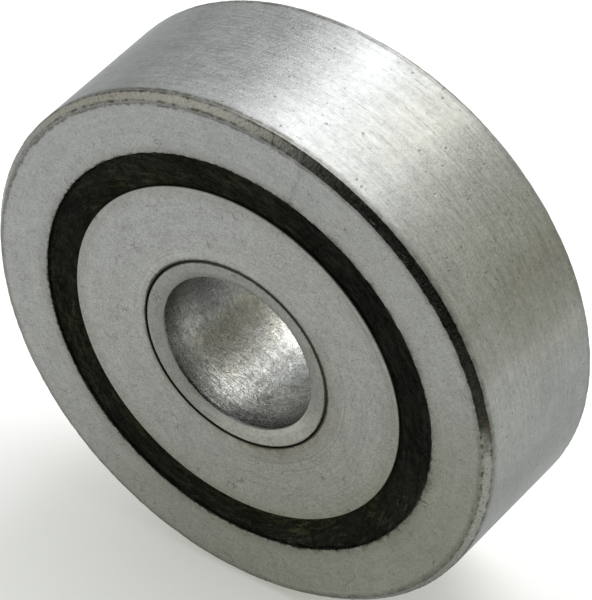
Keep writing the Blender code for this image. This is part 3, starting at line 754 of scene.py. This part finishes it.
def tube(points, radius, verts, faces, sides=3):
    """Adds a closed tapered fibre along the points (mm) to the lists."""
    base = len(verts)
    n = len(points)
    pts = np.array(points)
    tan = np.gradient(pts, axis=0)
    tan /= np.linalg.norm(tan, axis=1)[:, None]
    side = np.cross(tan, (0.0, 1.0, 0.0))
    side /= np.maximum(np.linalg.norm(side, axis=1)[:, None], 1e-9)
    other = np.cross(side, tan)
    for i in range(n):
        w = radius * (0.25 + 0.75 * math.sin(math.pi * (i + 0.35) / (n - 0.3)))
        for k in range(sides):
            a = 2 * math.pi * k / sides
            verts.append(tuple((pts[i] + w * (math.cos(a) * side[i] + math.sin(a) * other[i])) * MM))
    for i in range(n - 1):
        for k in range(sides):
            a, b = base + i * sides + k, base + i * sides + (k + 1) % sides
            faces.append((a, b, b + sides, a + sides))
    faces.append(tuple(base + k for k in reversed(range(sides))))
    faces.append(tuple(base + (n - 1) * sides + k for k in range(sides)))


def build_felt():
    material = felt_material()
    loose = felt_material("felt_fibres", 1.55)
    face, back = FELT_FACE - 0.02, FELT_BACK
    inner, outer = RACE_R + 0.008, SEAT_R - 0.008
    corners = [(inner, face), (outer, face), (outer, back), (inner, back)]
    rear = densify(rounded(corners, [0.05, 0.04, 0.05, 0.05], 4), 0.11)

    def matted(R, Y, T, NR, NY):
        """Lumps and combed streaks of the felt's face."""
        ay = np.abs(Y)
        cols = ay[0] > face - 0.3
        dy = np.zeros(R.shape)
        r, y, t = R[:, cols], Y[:, cols], T[:, cols]
        lumps = field(r, y, t, 1.3, 31.0, 4)
        combed = field(np.full(r.shape, 9.0), r * 0.9, t, 0.8, 17.0, 3, 4.0)
        height = 0.055 * lumps + 0.045 * combed - 0.03
        dy[:, cols] = np.sign(y) * height * np.clip((ay[:, cols] - face + 0.3) / 0.3, 0.0, 1.0)
        return np.zeros(R.shape), dy

    for where, profile, sign in (("rear", rear, 1.0), ("front", mirrored(rear), -1.0)):
        obj = turned(f"felt_{where}_body", profile, 600, matted)
        obj.data.materials.append(material)
        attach(obj, "outer_ring")
        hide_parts(f"felt_seal_{where}")
        # loose fibres lying on the face, some across the mouth of the seat
        rng = np.random.default_rng(7 if sign > 0 else 8)
        verts, faces = [], []
        for _ in range(1500):
            t0 = rng.uniform(0, 2 * math.pi)
            r0 = rng.uniform(inner + 0.12, outer - 0.05)
            lean = rng.normal(0.0, 0.55)
            length = rng.uniform(0.35, 1.5)
            bend = rng.normal(0.0, 0.6)
            points = []
            for i in range(7):
                s = (i / 6 - 0.5) * length
                a = lean + bend * s
                r = r0 + s * math.sin(a)
                r = min(max(r, inner + 0.06), outer - 0.02)
                t = t0 + s * math.cos(a) / r0
                lift = face + 0.012 + 0.02 * math.sin(math.pi * i / 6) * rng.uniform(0.2, 1.0)
                points.append((r * math.cos(t), sign * min(lift, HALF_RING - 0.03), r * math.sin(t)))
            tube(points, rng.uniform(0.010, 0.020), verts, faces)
        for _ in range(1500):         # short fuzz that reaches over the seat's edge
            t0 = rng.uniform(0, 2 * math.pi)
            clump = 0.5 + 0.5 * math.sin(5 * t0 + 1.3) * math.sin(13 * t0) + 0.35 * math.sin(47 * t0)
            reach = abs(rng.normal(0.0, 0.05 + 0.07 * max(clump, 0.0))) + 0.02
            slant = rng.normal(0.0, 0.9)
            points = []
            for i in range(5):
                s = i / 4
                r = outer - 0.12 + s * (0.12 + reach)
                t = t0 + slant * s * 0.18 / r
                y = face - 0.03 + s * (HALF_RING + 0.018 - face + 0.03)
                points.append((r * math.cos(t), sign * min(y, HALF_RING + 0.022), r * math.sin(t)))
            tube(points, rng.uniform(0.012, 0.022), verts, faces)
        mesh = bpy.data.meshes.new(f"felt_{where}_fibres")
        mesh.from_pydata(verts, [], faces)
        mesh.update()
        mesh.shade_smooth()
        if volume_of(mesh) < 0:
            mesh.flip_normals()
        mesh.materials.append(loose)
        fibres = bpy.data.objects.new(mesh.name, mesh)
        bpy.context.scene.collection.objects.link(fibres)
        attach(fibres, "outer_ring")


def build_balls():
    material = ball_material()
    names = sorted(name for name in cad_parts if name.startswith("ball_"))
    for name in names:
        low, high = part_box(name)
        centre = (Vector(low) + Vector(high)) / 2
        segments, rings = 64, 32
        verts = [(0, BALL_R * MM, 0)]
        for i in range(1, rings):
            a = math.pi * i / rings
            for j in range(segments):
                b = 2 * math.pi * j / segments
                verts.append((BALL_R * MM * math.sin(a) * math.cos(b), BALL_R * MM * math.cos(a), BALL_R * MM * math.sin(a) * math.sin(b)))
        verts.append((0, -BALL_R * MM, 0))
        faces = []
        for j in range(segments):
            k = (j + 1) % segments
            faces.append((0, 1 + k, 1 + j))
            for i in range(rings - 2):
                a, b = 1 + i * segments, 1 + (i + 1) * segments
                faces.append((a + j, a + k, b + k, b + j))
            last = 1 + (rings - 2) * segments
            faces.append((last + j, last + k, len(verts) - 1))
        mesh = bpy.data.meshes.new(name + "_polished")
        mesh.from_pydata(verts, [], faces)
        mesh.update()
        mesh.shade_smooth()
        if volume_of(mesh) < 0:
            mesh.flip_normals()
        mesh.materials.append(material)
        obj = bpy.data.objects.new(name + "_polished", mesh)
        obj.location = centre
        bpy.context.scene.collection.objects.link(obj)
        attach(obj, "ball_row")
        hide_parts(name)


# ------------------------------------------------------------ floor, light, camera
def build_stage():
    mesh = bpy.data.meshes.new("floor")
    size = 0.8
    mesh.from_pydata([(-size, -size, 0), (size, -size, 0), (size, size, 0), (-size, size, 0)], [], [(0, 1, 2, 3)])
    floor = bpy.data.objects.new("floor", mesh)
    floor.location = (0, 0, cad_low[2])
    bpy.context.scene.collection.objects.link(floor)
    material = bpy.data.materials.new("floor_white")
    material.use_nodes = True
    shader = material.node_tree.nodes["Principled BSDF"]
    shader.inputs["Base Color"].default_value = (0.71, 0.71, 0.71, 1)
    shader.inputs["Emission Color"].default_value = (1.0, 1.0, 0.91, 1)
    shader.inputs["Emission Strength"].default_value = 0.31
    shader.inputs["Roughness"].default_value = 0.9
    shader.inputs["Specular IOR Level"].default_value = 0.0
    mesh.materials.append(material)


def aim(obj, target):
    obj.rotation_mode = "QUATERNION"
    obj.rotation_quaternion = (Vector(target) - obj.location).to_track_quat("-Z", "Y")


def area_light(name, location, size, power, color=(1, 1, 1), target=(0, 0, 0)):
    data = bpy.data.lights.new(name, "AREA")
    data.shape = "RECTANGLE"
    data.size, data.size_y = size
    data.energy = power
    data.color = color
    obj = bpy.data.objects.new(name, data)
    obj.location = location
    bpy.context.scene.collection.objects.link(obj)
    aim(obj, target)
    return obj


def build_world():
    """A white light tent, darker at the horizon, with a dark patch where the photographer stands."""
    world = bpy.data.worlds.new("tent")
    bpy.context.scene.world = world
    world.use_nodes = True
    tree = world.node_tree
    tree.nodes.clear()

    def node(kind, **settings):
        made = tree.nodes.new(kind)
        for key, value in settings.items():
            setattr(made, key, value)
        return made

    coord = node("ShaderNodeTexCoord").outputs["Generated"]
    split = node("ShaderNodeSeparateXYZ")
    tree.links.new(coord, split.inputs[0])

    def towards(direction, inner, outer):
        """1 within inner degrees of the direction, 0 beyond outer."""
        d = Vector(direction).normalized()
        dot = node("ShaderNodeVectorMath", operation="DOT_PRODUCT")
        tree.links.new(coord, dot.inputs[0])
        dot.inputs[1].default_value = d
        span = node("ShaderNodeMapRange", interpolation_type="SMOOTHSTEP", clamp=True)
        tree.links.new(dot.outputs["Value"], span.inputs["Value"])
        span.inputs["From Min"].default_value = math.cos(math.radians(outer))
        span.inputs["From Max"].default_value = math.cos(math.radians(inner))
        return span.outputs["Result"]

    def mix(fac, a, b):
        made = node("ShaderNodeMix", data_type="RGBA", clamp_factor=True)
        for value, index in ((fac, 0), (a, 6), (b, 7)):
            if isinstance(value, tuple):
                made.inputs[index].default_value = (*value, 1)
            else:
                tree.links.new(value, made.inputs[index])
        return made.outputs[2]

    rise = node("ShaderNodeMapRange", interpolation_type="SMOOTHSTEP", clamp=True)
    tree.links.new(split.outputs[2], rise.inputs["Value"])
    rise.inputs["From Min"].default_value = 0.0
    rise.inputs["From Max"].default_value = 0.55
    color = mix(rise.outputs["Result"], WORLD_HORIZON, WORLD_TOP)
    color = mix(towards((0.80, 0.60, 0.10), 10, 32), color, WORLD_REAR_RIGHT)
    color = mix(towards(CAMERA_DIRECTION, 33, 45), color, WORLD_CAMERA)
    color = mix(towards((0.70, -0.66, 0.28), 24, 40), color, WORLD_CAMERA)
    color = mix(towards((0.80, -0.60, -0.02), 18, 34), color, WORLD_CAMERA)
    # the backdrop as seen directly: it carries the floor's tone on, so a level view has no horizon line
    seen = node("ShaderNodeLightPath").outputs["Is Camera Ray"]
    color = mix(seen, color, mix(rise.outputs["Result"], BACKDROP_LOW, BACKDROP_TOP))
    background = node("ShaderNodeBackground")
    tree.links.new(color, background.inputs["Color"])
    background.inputs["Strength"].default_value = 1.0
    out = node("ShaderNodeOutputWorld")
    tree.links.new(background.outputs[0], out.inputs["Surface"])


WORLD_HORIZON = (0.72, 0.72, 0.68)
WORLD_TOP = (1.07, 1.10, 1.11)
BACKDROP_LOW = (0.845, 0.861, 0.832)
BACKDROP_TOP = (1.0, 1.0, 1.0)
WORLD_CAMERA = (0.015, 0.015, 0.014)
WORLD_REAR_RIGHT = (0.70, 0.70, 0.57)
AZIMUTH, ELEVATION = 35.159, 40.854
LENS = 318.5
CAMERA_OFFSET = (-0.293 * MM, 0.205 * MM, 309.283 * MM)     # origin seen from the camera: right, down, forward
_a, _e = math.radians(AZIMUTH), math.radians(ELEVATION)
CAMERA_DIRECTION = (math.sin(_a) * math.cos(_e), -math.cos(_a) * math.cos(_e), math.sin(_e))


def build_camera():
    data = bpy.data.cameras.new("camera")
    data.sensor_width = 36.0
    data.lens = LENS
    data.clip_start, data.clip_end = 0.01, 10.0
    camera = bpy.data.objects.new("camera", data)
    bpy.context.scene.collection.objects.link(camera)
    back = Vector(CAMERA_DIRECTION)
    camera.rotation_mode = "QUATERNION"
    camera.rotation_quaternion = (-back).to_track_quat("-Z", "Y")
    turn = camera.rotation_quaternion.to_matrix()
    right, up = turn.col[0], turn.col[1]
    x, y, z = CAMERA_OFFSET
    camera.location = -(right * x - up * y - back * z)
    bpy.context.scene.camera = camera


build_outer_ring()
build_races()
build_hub()
build_felt()
build_balls()
build_stage()
build_world()
area_light("rear_top_box", (0.003, 0.155, 0.205), (0.175, 0.20), 0.45)
build_camera()

view = bpy.context.scene.view_settings
view.view_transform = "Standard"
view.look = "None"
view.exposure = 0.0
view.gamma = 1.0
